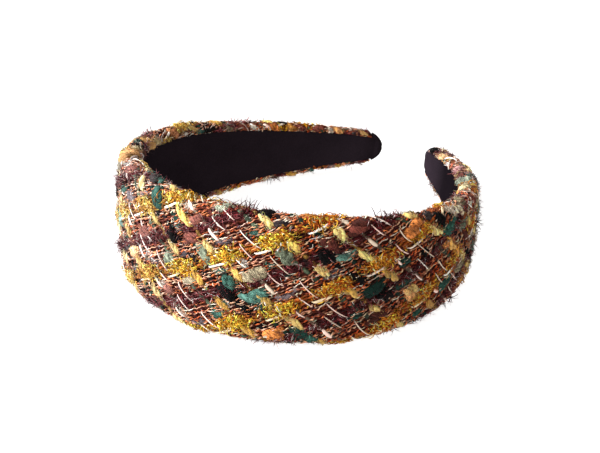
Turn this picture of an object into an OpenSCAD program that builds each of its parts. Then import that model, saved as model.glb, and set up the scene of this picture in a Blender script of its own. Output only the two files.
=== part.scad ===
// Boucle headband: a wide padded band for the hair, lying on its lower edge.
// Sizes are in millimetres and angles in degrees. The top of the bend, which sits on the
// crown of the head, is toward -Y, the two tips are toward +Y, and the width stands along Z.
// A place on the band has a distance s along its centre line from the middle of the crown,
// a distance n outwards from the middle of the padded wall, and a height v up its width.

/* [Bend] */
// Length of the band from the middle of the crown to a tip
half_length = 188; // [176:1:200]
// Radius of the bend over the crown
crown_radius = 58; // [54:0.5:62]
// Length of the crown's bend on each side of its middle
crown_arc = 104; // [98:1:110]
// Radius of the easier bend beside each ear
ear_radius = 91; // [80:1:110]
// Length of the bend beside each ear
ear_arc = 20; // [10:1:30]
// Radius of the last stretch to each tip
tip_radius = 149; // [120:1:200]

/* [Width and wall] */
// Width of the band at the crown
crown_width = 43; // [38:0.5:48]
// Width that the band tapers to, before its tip is rounded
tip_width = 12; // [11:0.5:16]
// Thickness of the padded wall at the crown
crown_wall = 7.6; // [6.4:0.2:9]
// Thickness of the padded wall at the tips
tip_wall = 6.4; // [5.6:0.2:7]
// How far the middle of the width stands out past the edges
crowning = 1; // [0:0.1:2]

/* [Cover] */
// Width of the tweed that wraps each edge and is turned in, at the crown
crown_turn_in = 6.2; // [5:0.2:8]
// Width of the tweed that wraps each edge and is turned in, at the tips
tip_turn_in = 2.1; // [1.8:0.1:3]

/* [Lining] */
// Thickness of the lining
lining_wall = 1; // [0.8:0.1:1.4]
// Gap between the lining and the tweed
seam_gap = 0.15; // [0.1:0.05:0.3]
// Length of each tip that the lining closes on every side
cap_length = 5; // [4:0.5:6]
// Length over which the outline of each tip is rounded
tip_length = 8; // [7:0.5:10]

/* [Hidden] */

// The bend from the crown to a tip, an arc in each row
ARC_LENGTH = 0;
ARC_RADIUS = 1;
arcs = [
    [crown_arc, crown_radius],
    [ear_arc, ear_radius],
    [half_length - crown_arc - ear_arc, tip_radius],
];

// Sections along the whole band and along each cap, and the angle at which a cap ends
band_steps = 84;
cap_steps = 7;
cap_last_angle = 80;
// Points round each edge of a section, as the angle between them
cover_edge_angle = 30;
lining_edge_angle = 45;

// Share of the turned-in width that the round edge takes up
edge_share = 0.9;
// Radius of the lining's own edges, and the length in which a cap reaches its full section
lining_edge = 0.3;
cap_ease = 0.3;
// Thickness of a cap and reach of its round edges, as shares of the wall and of its half width
cap_wall_share = 0.96;
cap_edge_share = 0.6;
// Length over which the thickness of a tip is rounded
nose_length = 0.4 * tip_wall;

cover_end = half_length - cap_length;
cap_start = cover_end + seam_gap;
recess = lining_wall + seam_gap;
stations = [for (k = [0 : band_steps]) cover_end * (2 * k / band_steps - 1)];

// Place and heading of the centre line at a distance d along the arcs
function along(d, i = 0, x = 0, y = 0, heading = 0) =
    let (
        r = arcs[i][ARC_RADIUS],
        here = i == len(arcs) - 1 ? d : min(d, arcs[i][ARC_LENGTH]),
        turned = heading + here / r * 180 / PI,
        x_on = x + r * (sin(turned) - sin(heading)),
        y_on = y + r * (cos(heading) - cos(turned))
    )
    d > here ? along(d - here, i + 1, x_on, y_on, turned) : [x_on, y_on, turned];

// Place and heading of the centre line at s, which is negative on the -X side
function centre(s) =
    let (c = along(abs(s)))
    s < 0 ? [-c[0], c[1], -c[2]] : c;

// Share of the way from the crown to a tip, and the sizes that follow it
function share(s) = abs(s) / half_length;
function taper(s, at_crown, at_tip) = at_crown + (at_tip - at_crown) * share(s);
function wall(s) = taper(s, crown_wall, tip_wall);
function turn_in(s) = taper(s, crown_turn_in, tip_turn_in);

// Factor that rounds off the last stretch before a tip: 1 before it and 0 at the tip
function rounding(s, over) =
    let (u = max(0, (abs(s) - half_length + over) / over))
    sqrt(max(0, 1 - u * u));

// Half the width of the band
function half_width(s) =
    (tip_width + (crown_width - tip_width) * cos(90 * share(s))) / 2 * rounding(s, tip_length);

// Points [n, v] round one edge of a wall, from its outer to its inner face on the upper side
function round_edge(half, thick, middle, edge, angle, side) =
    [for (k = [0 : 180 / angle])
        let (a = side > 0 ? k * angle : 180 - k * angle)
        [middle + thick / 2 * cos(a), side * (half - edge + edge * sin(a))]];

// Section of the cover: an outer face, two round edges, and an inner face with the
// recess in which the lining lies
function cover_section(s) =
    let (
        half = half_width(s),
        thick = wall(s),
        edge = min(thick / 2, edge_share * turn_in(s)),
        lip = half - turn_in(s)
    )
    concat(
        [for (k = [-3 : 3]) [thick / 2, k / 4 * (half - edge)]],
        round_edge(half, thick, 0, edge, cover_edge_angle, 1),
        [[-thick / 2, lip]],
        [for (k = [2 : -1 : -2]) [recess - thick / 2, k / 2 * lip]],
        [[-thick / 2, -lip]],
        round_edge(half, thick, 0, edge, cover_edge_angle, -1)
    );

// Section of the lining: two faces and two round edges
function lining_section(half, thick, middle, edge) =
    concat(
        [for (k = [-1 : 1]) [middle + thick / 2, k / 2 * (half - edge)]],
        round_edge(half, thick, middle, edge, lining_edge_angle, 1),
        [for (k = [1 : -1 : -1]) [middle - thick / 2, k / 2 * (half - edge)]],
        round_edge(half, thick, middle, edge, lining_edge_angle, -1)
    );
function strip_section(s) =
    lining_section(half_width(s) - turn_in(s) - seam_gap, lining_wall,
        (lining_wall - wall(s)) / 2, lining_edge);
function cap_section(s) =
    let (
        half = half_width(s),
        thick = cap_wall_share * wall(s) * rounding(s, nose_length)
    )
    lining_section(half, thick, 0, min(thick / 2, cap_edge_share * half));

// Ring of points in space for a section at s, bowed across the width
function ring(s, section) =
    let (c = centre(s), half = half_width(s))
    [for (p = section)
        let (n = p[0] - crowning * pow(p[1] / half, 2))
        [c[0] + n * sin(c[2]), c[1] - n * cos(c[2]), p[1]]];

// The band lies on its lower edge. Its crown is the widest, so it tips until the edge
// touches on both sides of its balance point.
function total(list) = list * [for (value = list) 1];
weights = [for (s = stations) half_width(s) * wall(s)];
balance_y = weights * [for (s = stations) centre(s)[1]] / total(weights);
function edge_height(s, tip) =
    let (foot = ring(s, [[0, -half_width(s)]])[0])
    foot[2] * cos(tip) - foot[1] * sin(tip);
function lowest(at, tip) = min([for (s = at) edge_height(s, tip)]);
crown_side = [for (s = stations) if (centre(s)[1] < balance_y) s];
arm_side = [for (s = stations) if (centre(s)[1] >= balance_y) s];
function settle(low, high, halvings) =
    let (tip = (low + high) / 2)
    halvings == 0 ? tip
    : lowest(crown_side, tip) < lowest(arm_side, tip) ? settle(tip, high, halvings - 1)
    : settle(low, tip, halvings - 1);
rest_tip = settle(0, 10, 20);
function tipped(rings) =
    [for (r = rings) [for (p = r)
        [p[0], p[1] * cos(rest_tip) + p[2] * sin(rest_tip), p[2] * cos(rest_tip) - p[1] * sin(rest_tip)]]];

// Distances along the band of the cap's sections, closer together towards the tip
cap_first_angle = asin((cap_start + cap_ease - half_length + tip_length) / tip_length);
cap_stations = [for (k = [0 : cap_steps])
    let (a = cap_first_angle + (cap_last_angle - cap_first_angle) * k / cap_steps)
    half_length - tip_length * (1 - sin(a))];

cover_rings = tipped([for (s = stations) ring(s, cover_section(s))]);
lining_rings = tipped(concat(
    [for (k = [cap_steps : -1 : 0]) ring(-cap_stations[k], cap_section(cap_stations[k]))],
    [ring(-cap_start, strip_section(cap_start))],
    [for (s = stations) ring(s, strip_section(s))],
    [ring(cap_start, strip_section(cap_start))],
    [for (s = cap_stations) ring(s, cap_section(s))]
));

// The origin is under the middle of the band's box, on the surface that it lies on
all_points = [for (r = concat(cover_rings, lining_rings)) each r];
middle_y = (min([for (p = all_points) p[1]]) + max([for (p = all_points) p[1]])) / 2;
floor_z = min([for (p = all_points) p[2]]);

// Solid through a row of rings, closed at both ends
module sweep(rings) {
    size = len(rings[0]);
    last = len(rings) - 1;
    points = [for (r = rings) each r];
    faces = concat(
        [[for (j = [size - 1 : -1 : 0]) j]],
        [for (i = [0 : last - 1], j = [0 : size - 1])
            let (a = i * size + j, b = i * size + (j + 1) % size)
            each [[a, b, b + size], [a, b + size, a + size]]],
        [[for (j = [0 : size - 1]) last * size + j]]
    );
    translate([0, -middle_y, -floor_z]) polyhedron(points, faces);
}

// The boucle tweed over its padding, wrapped round both edges
module cover() {
    color([0.55, 0.38, 0.22]) sweep(cover_rings);
}

// The black fabric on the inner face, which also closes both tips
module lining() {
    color([0.12, 0.1, 0.11]) sweep(lining_rings);
}

cover();
lining();
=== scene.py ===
import math

import bmesh
import bpy
import numpy as np
from mathutils import Matrix, Vector


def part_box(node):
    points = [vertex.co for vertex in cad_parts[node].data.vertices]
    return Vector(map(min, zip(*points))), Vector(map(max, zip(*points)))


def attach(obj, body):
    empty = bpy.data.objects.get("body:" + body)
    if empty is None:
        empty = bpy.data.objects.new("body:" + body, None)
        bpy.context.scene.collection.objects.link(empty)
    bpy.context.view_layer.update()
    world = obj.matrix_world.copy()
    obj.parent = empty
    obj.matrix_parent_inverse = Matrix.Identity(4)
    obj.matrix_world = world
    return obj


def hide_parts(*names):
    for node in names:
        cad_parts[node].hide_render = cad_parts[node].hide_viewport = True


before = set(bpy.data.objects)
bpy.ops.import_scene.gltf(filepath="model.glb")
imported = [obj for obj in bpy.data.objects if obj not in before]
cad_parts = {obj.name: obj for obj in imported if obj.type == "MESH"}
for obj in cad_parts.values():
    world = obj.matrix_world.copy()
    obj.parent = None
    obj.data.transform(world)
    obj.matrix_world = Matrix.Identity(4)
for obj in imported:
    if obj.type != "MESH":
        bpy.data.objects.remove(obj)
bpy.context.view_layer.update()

# The padded band. A flat springy core lies in wadding and is bent to a horseshoe, and the ground
# of the tweed is pulled over it and round both edges. It is made as a stuffed tube, which is cut
# into rings and then laid along the bend. Sizes are in millimetres until a mesh is laid.
MM = 0.001
HALF_LENGTH = 188.0
# Length and radius of each arc of the bend, from the middle of the crown to a tip
BEND = ((104.0, 58.0), (20.0, 91.0), (64.0, 149.0))
CROWN_WIDTH, TIP_WIDTH = 43.0, 12.0
CROWN_WALL, TIP_WALL = 7.6, 6.4
CROWN_TURN_IN, TIP_TURN_IN = 6.2, 2.1
CROWNING = 1.0
EDGE_SHARE = 0.9
TIP_LENGTH, CAP_LENGTH = 8.0, 5.0
COVER_END = HALF_LENGTH - CAP_LENGTH
RECESS = 1.15


def share(s):
    """Share of the way from the crown's middle to a tip."""
    return np.abs(s) / HALF_LENGTH


def half_width(s):
    past = np.clip((np.abs(s) - HALF_LENGTH + TIP_LENGTH) / TIP_LENGTH, 0, 1)
    full = TIP_WIDTH + (CROWN_WIDTH - TIP_WIDTH) * np.cos(math.pi / 2 * share(s))
    return full / 2 * np.sqrt(1 - past**2)


def wall(s):
    return CROWN_WALL + (TIP_WALL - CROWN_WALL) * share(s)


def turn_in(s):
    return CROWN_TURN_IN + (TIP_TURN_IN - CROWN_TURN_IN) * share(s)


def edge(s):
    """Reach of a round edge across the width."""
    return np.minimum(wall(s) / 2, EDGE_SHARE * turn_in(s))


def edge_round(s):
    """Length round one edge, from the outer face to the inner one."""
    return math.pi * (wall(s) / 2 + edge(s)) / 2


def cloth_half(s):
    """Length of cloth from the middle of the outer face round an edge to its tucked end."""
    return half_width(s) - edge(s) + edge_round(s) + turn_in(s) - edge(s)


def bent(s):
    """Place and heading of the middle of the wall, at a distance s from the crown's middle."""
    left = np.abs(s)
    x, y, heading = 0 * left, 0 * left, 0 * left
    for length, radius in BEND:
        here = np.minimum(left, length)
        turned = heading + here / radius
        x = x + radius * (np.sin(turned) - np.sin(heading))
        y = y + radius * (np.cos(heading) - np.cos(turned))
        heading = turned
        left = left - here
    side = np.where(s < 0, -1, 1)
    return side * x, y, side * heading


def tipped(vectors, tip):
    """Vectors turned about X, so that the arms drop by the angle tip."""
    x, y, z = np.moveaxis(vectors, -1, 0)
    cos, sin = math.cos(tip), math.sin(tip)
    return np.stack([x, y * cos + z * sin, z * cos - y * sin], -1)


def stood(s, n, v, out_n=1, out_v=0):
    """Points n out from the middle of the wall and v up the width, and the directions out."""
    x, y, heading = bent(s)
    sin, cos = np.sin(heading), np.cos(heading)
    n = n - CROWNING * np.minimum((v / half_width(s)) ** 2, 1)
    points = np.stack([x + n * sin, y - n * cos, v + 0 * x], -1)
    outward = np.stack([out_n * sin, -out_n * cos, out_v + 0 * x], -1)
    return points, outward


def round_section(s, c, h):
    """Distance out, height and outward direction at c round the section and h over the cloth."""
    reach = np.abs(c)
    flat = half_width(s) - edge(s)
    angle = np.clip((reach - flat) / edge_round(s), 0, 1) * math.pi
    inside = np.maximum(reach - flat - edge_round(s), 0)
    out_n, out_v = edge(s) * np.cos(angle), wall(s) / 2 * np.sin(angle)
    size = np.hypot(out_n, out_v)
    out_n, out_v = out_n / size, out_v / size
    n = wall(s) / 2 * np.cos(angle) + out_n * h
    v = np.where(reach < flat, reach, flat + edge(s) * np.sin(angle) - inside) + out_v * h
    side = np.where(c < 0, -1, 1)
    return n, side * v, out_n, side * out_v


# The band's lower edge tips until it rests on both sides of the band's balance point.
along_band = np.linspace(-COVER_END, COVER_END, 401)
weight = half_width(along_band) * wall(along_band)
feet, _ = stood(along_band, 0, -half_width(along_band))
in_front = feet[:, 1] < np.average(bent(along_band)[1], weights=weight)
low_tip, high_tip = 0.0, math.radians(10)
for _ in range(20):
    REST_TIP = (low_tip + high_tip) / 2
    foot_z = tipped(feet, REST_TIP)[:, 2]
    if foot_z[in_front].min() < foot_z[~in_front].min():
        low_tip = REST_TIP
    else:
        high_tip = REST_TIP
all_s, all_c = np.meshgrid(along_band, np.linspace(-1, 1, 97), indexing="ij")
n, v, _, _ = round_section(all_s, all_c * cloth_half(all_s), 0)
own_low = tipped(stood(all_s, n, v)[0], REST_TIP).min(axis=(0, 1))
cover_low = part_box("cover")[0]
SHIFT = np.array([0, cover_low.y / MM - own_low[1], cover_low.z / MM - own_low[2]])


def lay(s, n, v, out_n=1, out_v=0):
    """Places on the band as points in metres and directions, with nothing under the floor."""
    points, outward = stood(s, n, v, out_n, out_v)
    points = tipped(points, REST_TIP) + SHIFT
    points[..., 2] = np.maximum(points[..., 2], 0)
    return points * MM, tipped(outward, REST_TIP)


CLOTH_SINK = 0.45


def lay_cloth(s, c, h):
    """Places on the cloth, s along the band and c round it, as points and directions up."""
    return lay(s, *round_section(s, c, h - CLOTH_SINK))


# The rows of the tweed climb to the right and its picks fall to the right, because it is cut on
# the bias. p counts across the rows and q across the picks, so a row has one p, a pick one q.
ROW_SLOPE, PICK_SLOPE = math.radians(28), math.radians(40)
ROW_COS, ROW_SIN = math.cos(ROW_SLOPE), math.sin(ROW_SLOPE)
PICK_COS, PICK_SIN = math.cos(PICK_SLOPE), math.sin(PICK_SLOPE)
CROSSING = math.sin(ROW_SLOPE + PICK_SLOPE)


def row_of(s, c):
    return c * ROW_COS - s * ROW_SIN


def pick_of(s, c):
    return s * PICK_SIN + c * PICK_COS


def dyed(shade):
    """A colour written as six hexadecimal digits, as linear light."""
    parts = [int(shade[k : k + 2], 16) / 255 for k in (0, 2, 4)]
    return tuple(((x + 0.055) / 1.055) ** 2.4 if x > 0.04045 else x / 12.92 for x in parts)


class Wire:
    """A socket of a material. Arithmetic on wires adds their Math nodes."""

    def __init__(self, tree, socket=None):
        self.tree = tree
        self.socket = socket

    def node(self, kind, settings=None, sockets=None, output=0):
        """A new node of that kind: its settings go in first, then values or wires."""
        made = self.tree.nodes.new(kind)
        for name, value in (settings or {}).items():
            setattr(made, name, value)
        for name, value in (sockets or {}).items():
            if isinstance(value, Wire):
                self.tree.links.new(value.socket, made.inputs[name])
            else:
                made.inputs[name].default_value = value
        return Wire(self.tree, made.outputs[output]) if made.outputs else None

    def part(self, number):
        """One of the three numbers of this vector."""
        return self.node("ShaderNodeSeparateXYZ", {}, {"Vector": self}, number)

    def math(self, operation, *values):
        return self.node("ShaderNodeMath", {"operation": operation}, dict(enumerate(values)))

    def __add__(self, other):
        return self.math("ADD", self, other)

    def __sub__(self, other):
        return self.math("SUBTRACT", self, other)

    def __rsub__(self, other):
        return self.math("SUBTRACT", other, self)

    def __mul__(self, other):
        return self.math("MULTIPLY", self, other)

    __radd__, __rmul__ = __add__, __mul__

    def mix(self, factor, first, second, blend="MIX"):
        """Two colours, wires or written in hexadecimal digits, mixed by a factor."""
        colours = [(*dyed(x), 1) if isinstance(x, str) else x for x in (first, second)]
        settings = {"data_type": "RGBA", "blend_type": blend}
        return self.node("ShaderNodeMix", settings, {0: factor, 6: colours[0], 7: colours[1]}, 2)


def new_finish(name):
    """An empty material and a wire to build its nodes from."""
    material = bpy.data.materials.new(name)
    material.use_nodes = True
    material.node_tree.nodes.clear()
    return material, Wire(material.node_tree)


SOFT_GLOSS = 0.12


def shade_with(wire, base, bump, depth, **constants):
    """Ends a material in a Principled shader with that colour and bump, and its own values."""
    relief = {"Height": bump, "Strength": 1.0, "Distance": depth * MM}
    normal = wire.node("ShaderNodeBump", {}, relief)
    sockets = {name.replace("_", " "): value for name, value in constants.items()}
    sockets = {"Base Color": base, "Normal": normal, "Specular IOR Level": SOFT_GLOSS, **sockets}
    shader = wire.node("ShaderNodeBsdfPrincipled", {}, sockets)
    wire.node("ShaderNodeOutputMaterial", {}, {"Surface": shader})


def noise(wire, scale, detail=3.0):
    """Noise on Object coordinates, with that many grains to a millimetre."""
    place = wire.node("ShaderNodeTexCoord", output="Object")
    sockets = {"Vector": place, "Scale": scale / MM, "Detail": detail}
    return wire.node("ShaderNodeTexNoise", {}, sockets)


def stuffed_tube(name, points_round, cuts):
    """A tube along Z from -1 to 1 that is cut across into rings, and the places of its points."""
    bpy.ops.object.select_all(action="DESELECT")
    bpy.ops.mesh.primitive_cylinder_add(vertices=points_round, radius=1, depth=2)
    tube = bpy.context.object
    tube.name = name
    bpy.ops.object.mode_set(mode="EDIT")
    bpy.ops.mesh.select_mode(type="EDGE")
    bpy.ops.mesh.select_all(action="DESELECT")
    uncut = bmesh.from_edit_mesh(tube.data)
    for long_edge in uncut.edges:
        ends = [corner.co.z for corner in long_edge.verts]
        long_edge.select_set(min(ends) < 0 < max(ends))
    bpy.ops.mesh.subdivide(number_cuts=cuts)
    bpy.ops.object.mode_set(mode="OBJECT")
    places = np.empty(len(tube.data.vertices) * 3)
    tube.data.vertices.foreach_get("co", places)
    return tube, places.reshape(-1, 3)


def shape_tube(tube, points):
    """Moves the points of a tube, turns its faces outwards and shades it smooth."""
    tube.data.vertices.foreach_set("co", points.ravel())
    tube.data.update()
    bpy.ops.object.mode_set(mode="EDIT")
    bpy.ops.mesh.select_all(action="SELECT")
    bpy.ops.mesh.normals_make_consistent(inside=False)
    bpy.ops.object.mode_set(mode="OBJECT")
    bpy.ops.object.shade_smooth()


GROUND_SINK = 0.95
GROUND_LUMP = 0.12
GROUND_POINTS, GROUND_CUTS = 64, 179
# Share of each half of a ring that lies on the cloth's face; the rest lies under the lining
CLOTH_SHARE = 0.8
ROW_THREAD, PICK_THREAD = 0.85, 0.93

ground, around = stuffed_tube("tweed_ground", GROUND_POINTS, GROUND_CUTS)
s = around[:, 2] * COVER_END
turn = np.arctan2(around[:, 1], around[:, 0]) / math.pi
c = np.clip(turn / CLOTH_SHARE, -1, 1) * cloth_half(s)
lump = np.sin(2.1 * s + 1.3 * c) + np.sin(1.7 * c - 1.1 * s)
n, v, _, _ = round_section(s, c, GROUND_LUMP * lump - GROUND_SINK)
under_lining = np.abs(turn) > CLOTH_SHARE
lip = half_width(s) - turn_in(s)
n = np.where(under_lining, RECESS - wall(s) / 2, n)
v = np.where(under_lining, np.sign(turn) * lip * (1 - np.abs(turn)) / (1 - CLOTH_SHARE), v)
shape_tube(ground, lay(s, n, v)[0])

loop_corner = np.empty(len(ground.data.loops), int)
ground.data.loops.foreach_get("vertex_index", loop_corner)
chart = np.stack([row_of(s, c), pick_of(s, c)], -1)[loop_corner]
ground.data.uv_layers.new(name="rows_and_picks").data.foreach_set("uv", chart.ravel())

material, wire = new_finish("tweed_ground")
chart = wire.node("ShaderNodeUVMap", {"uv_map": "rows_and_picks"})
row_thread = wire.math("SINE", chart.part(0) * (2 * math.pi / ROW_THREAD))
pick_thread = wire.math("SINE", chart.part(1) * (2 * math.pi / PICK_THREAD))
thread = (row_thread * 0.5 + 0.5) * (pick_thread * 0.35 + 0.65)
# Dark ground: partly the tweed's own dark back, partly painted shade in the gaps between its yarns
base = wire.mix(thread * noise(wire, 0.5), "30130f", "844430")
shade_with(wire, base, thread, depth=0.3, Roughness=0.9)
ground.data.materials.append(material)
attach(ground, "root")
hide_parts("cover")

# The lining. A strip of black short-napped fabric covers the inner face and the raw ends of the
# tweed, and is folded over both tips. It starts as a stuffed tube too, flat along the strip and
# opened out to the whole section over the last stretch of each tip.
LINING_WALL = 1.0
LINING_PROUD = 0.25
LINING_OVERLAP = 0.5
CAP_START = COVER_END + 0.1
CAP_EASE = 0.5
CAP_LAST_ANGLE = 1.45
NOSE_LENGTH = 0.4 * TIP_WALL
# Powers that square off the section: 1 is round, and a smaller one is squarer
CAP_POWER, STRIP_POWER = 0.75, 0.3
LINING_POINTS, LINING_CUTS, CAP_CUTS = 32, 119, 14
# Painted shade darkens the lining on the +X arm, in full from X of the first of these on, and
# painted light makes it paler at that arm's tip, from Y of the second on over a stretch of the
# third
PAINTED_SHADE_BY_X, PAINTED_LIGHT_FROM_Y, PAINTED_LIGHT_OVER = 30, 50, 20

lining, around = stuffed_tube("black_lining", LINING_POINTS, LINING_CUTS)
ring_number = np.rint((around[:, 2] + 1) / 2 * (LINING_CUTS + 1)).astype(int)
strip_rings = LINING_CUTS + 2 - 2 * CAP_CUTS
cap_first_angle = math.asin((CAP_START + CAP_EASE - HALF_LENGTH + TIP_LENGTH) / TIP_LENGTH)
cap_angles = np.linspace(cap_first_angle, CAP_LAST_ANGLE, CAP_CUTS)
cap_s = HALF_LENGTH - TIP_LENGTH * (1 - np.sin(cap_angles))
strip_s = np.linspace(-CAP_START, CAP_START, strip_rings)
s = np.concatenate([-cap_s[::-1], strip_s, cap_s])[ring_number]
turn = np.arctan2(around[:, 1], around[:, 0])
on_cap = np.abs(s) > CAP_START + CAP_EASE / 2
past_nose = np.clip((np.abs(s) - HALF_LENGTH + NOSE_LENGTH) / NOSE_LENGTH, 0, 1)
strip_thick = LINING_WALL + LINING_PROUD
half = np.where(on_cap, half_width(s), half_width(s) - turn_in(s) + LINING_OVERLAP)
thick = np.where(on_cap, wall(s) * np.sqrt(1 - past_nose**2), strip_thick)
middle = np.where(on_cap, 0, (strip_thick - wall(s)) / 2 - LINING_PROUD)
power = np.where(on_cap, CAP_POWER, STRIP_POWER)
cos, sin = np.cos(turn), np.sin(turn)
n = middle + thick / 2 * np.sign(cos) * np.abs(cos) ** power
v = half * np.sign(sin) * np.abs(sin) ** power
shape_tube(lining, lay(s, n, v)[0])

material, wire = new_finish("black_lining")
nap = noise(wire, 2.5, detail=6.0)
place = wire.node("ShaderNodeTexCoord", output="Object")
on_arm = wire.node("ShaderNodeClamp", {}, {"Value": place.part(0) * (1 / PAINTED_SHADE_BY_X / MM)})
past = place.part(1) * (1 / PAINTED_LIGHT_OVER / MM) - PAINTED_LIGHT_FROM_Y / PAINTED_LIGHT_OVER
near_tip = wire.node("ShaderNodeClamp", {}, {"Value": past})
# Painted shade on the +X arm's lining and painted light at that arm's tip
painted_light_and_shade = 1 + on_arm * (near_tip * 2.3 - 0.7)
base = wire.mix((noise(wire, 0.08) * 0.1 + nap * 0.16) * painted_light_and_shade, "080608", "544651")
shade_with(wire, base, nap, depth=0.15, Roughness=0.95, Specular_IOR_Level=0.0)
lining.data.materials.append(material)
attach(lining, "root")
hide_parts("lining")

# The picks. Eight yarns cross the cloth in turn, and between the places where they come up to its
# face they lie under the rows, where their soft dark backs show through the gaps.
ROW_REPEAT, PICK_REPEAT, PICK_GAP = 20.65, 29.7, 3.7125
ROW_GAP, FIRST_PICK = 0.86, 0.45
YARN_REACH, PICK_REACH, YARN_ENDS = 118.0, 160.0, 205.0
# More runs than the yarns of one pick have
MANY_RUNS = 10000
# q, thickness and shades of each pick
UNDER_PICKS = (
    (0.5, 0.8, "a88440 8a6830"),
    (4.2, 1.0, "1c1518 2e2224"),
    (7.9, 1.0, "2a4a40 203a31"),
    (11.6, 0.8, "a88440 8a6830"),
    (15.7, 0.9, "7c6c5c 94806e"),
    (19.5, 0.6, "5c2a2c 743a34"),
    (23.3, 0.6, "5c2a2c 4c2020"),
    (26.9, 0.9, "66745e 4c584a"),
)


def repeated(places, repeat, reach):
    """Those places again at each repeat, from -reach to reach."""
    times = math.ceil(reach / repeat)
    every = [place + repeat * k for k in range(-times, times + 1) for place in places]
    return np.array(sorted(x for x in every if abs(x) < reach))


def yarn_points(lines, slope, step):
    """Places (s, c) along yarns at that slope, how far along and across, and a run's number."""
    t, p = np.meshgrid(np.arange(-YARN_ENDS, YARN_ENDS, step), lines)
    s = t * math.cos(slope) - p * math.sin(slope)
    c = t * math.sin(slope) + p * math.cos(slope)
    on = (np.abs(s) < COVER_END - 0.4) & (np.abs(c) < cloth_half(s))
    begins = on & ~np.roll(on, 1, axis=1)
    run = np.cumsum(begins.ravel()).reshape(on.shape)
    return s[on], c[on], t[on], p[on], run[on]


def unit(vectors):
    return vectors / np.maximum(np.linalg.norm(vectors, axis=-1, keepdims=True), 1e-12)


# Painted light and shade. Over the crown the dyes are painted deeper on the side that is turned
# from the light, and paler and greyer on the side toward it. Along the arms this turns round.
# Places are X over the crown and go on along the arms, and each has a share of grey, a gain and
# a power for the painted light.
PAINTED_LIGHT_PLACES = (-80, -60, -45, -15, 0, 20, 40, 60, 80)
PAINTED_LIGHT_GREYS = (0.0, 0.05, 0.25, 0.14, 0.04, 0.05, 0.1, 0.1, 0.3)
PAINTED_LIGHT_GAINS = (1.04, 1.0, 1.04, 1.03, 1.04, 1.15, 1.14, 1.14, 1.15)
PAINTED_LIGHT_POWERS = (1.25, 1.0, 0.92, 1.0, 1.05, 1.12, 1.33, 1.33, 1.1)


def dye_with_painted_light(path, dye):
    """A dye for each corner of the rings round path, with the painted light and shade of its place
    on the band.
    """
    toward = (path[:, 0] + np.sign(path[:, 0]) * np.maximum(path[:, 1], 0)) / MM
    looks = (PAINTED_LIGHT_GREYS, PAINTED_LIGHT_GAINS, PAINTED_LIGHT_POWERS)
    greyed, gain, power = (np.interp(toward, PAINTED_LIGHT_PLACES, x)[:, None, None] for x in looks)
    grey = (dye @ np.array([0.3, 0.6, 0.1]))[..., None]
    return np.minimum((dye + (grey - dye) * greyed) * gain, 1) ** power


def spun(name, material, path, up, run, width, height, sides, dye, lump=None):
    """A piece of closed tubes with a ring round each point of path: a new tube where run changes.
    dye is a colour for each ring or for each corner. The chart holds how far along in
    millimetres and the part of a turn round."""
    joined = run[1:] == run[:-1]
    ahead = np.where(joined[:, None], path[1:] - path[:-1], 0)
    tangent = np.zeros_like(path)
    tangent[:-1] += ahead
    tangent[1:] += ahead
    across = unit(np.cross(tangent, up))
    over = unit(np.cross(across, tangent))
    turn = np.arange(sides) * (2 * math.pi / sides)
    swell = 1 if lump is None else lump[:, :, None]
    wide = (np.asarray(width) * MM)[..., None, None] * np.cos(turn)[:, None] * swell
    high = (np.asarray(height) * MM)[..., None, None] * np.sin(turn)[:, None] * swell
    points = path[:, None] + across[:, None] * wide + over[:, None] * high
    points[..., 2] = np.maximum(points[..., 2], 0)
    corner = np.arange(len(path) * sides).reshape(-1, sides)
    beside = np.roll(corner, -1, axis=1)
    near, far = corner[:-1][joined], corner[1:][joined]
    near_beside, far_beside = beside[:-1][joined], beside[1:][joined]
    walls = np.stack([near, far, far_beside, near_beside], -1).reshape(-1, 4)
    first = np.concatenate([[True], ~joined])
    last = np.concatenate([~joined, [True]])
    lids = np.concatenate([corner[first], corner[last][:, ::-1]])
    mesh = bpy.data.meshes.new(name)
    faces = walls.tolist() + lids.tolist()
    mesh.from_pydata(points.reshape(-1, 3), [], faces, shade_flat=False)
    loops = np.concatenate([walls.ravel(), lids.ravel()])
    sofar = np.concatenate([[0], np.cumsum(np.linalg.norm(ahead, axis=1))]) / MM
    chart = np.stack([sofar[loops // sides], loops % sides / sides], -1)
    around = chart[: walls.size, 1].reshape(-1, 4)
    around[:, 2:] = around[:, :2] + 1 / sides
    mesh.uv_layers.new(name="yarn").data.foreach_set("uv", chart.ravel())
    dye = np.asarray(dye)
    colour = np.ones((len(path), sides, 4))
    # The dye attribute holds each dye with the painted light and shade of its place on the band
    colour[..., :3] = dye_with_painted_light(path, dye[:, None] if dye.ndim == 2 else dye)
    mesh.attributes.new("dye", "FLOAT_COLOR", "POINT").data.foreach_set("color", colour.ravel())
    mesh.materials.append(material)
    piece = bpy.data.objects.new(name, mesh)
    bpy.context.scene.collection.objects.link(piece)
    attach(piece, "root")


DYE_DEPTH = 0.8


def fibres(wire, twist, girth):
    """Streaks that wind along a yarn with that many turns to a millimetre."""
    chart = wire.node("ShaderNodeUVMap", {"uv_map": "yarn"})
    along = chart.part(0)
    turn = (chart.part(1) + along * twist) * (2 * math.pi)
    across = wire.math("COSINE", turn) * girth
    over = wire.math("SINE", turn) * girth
    place = wire.node("ShaderNodeCombineXYZ", {}, {"X": along * 0.7, "Y": across, "Z": over})
    return wire.node("ShaderNodeTexNoise", {}, {"Vector": place, "Scale": 1.0, "Detail": 4.0})


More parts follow.
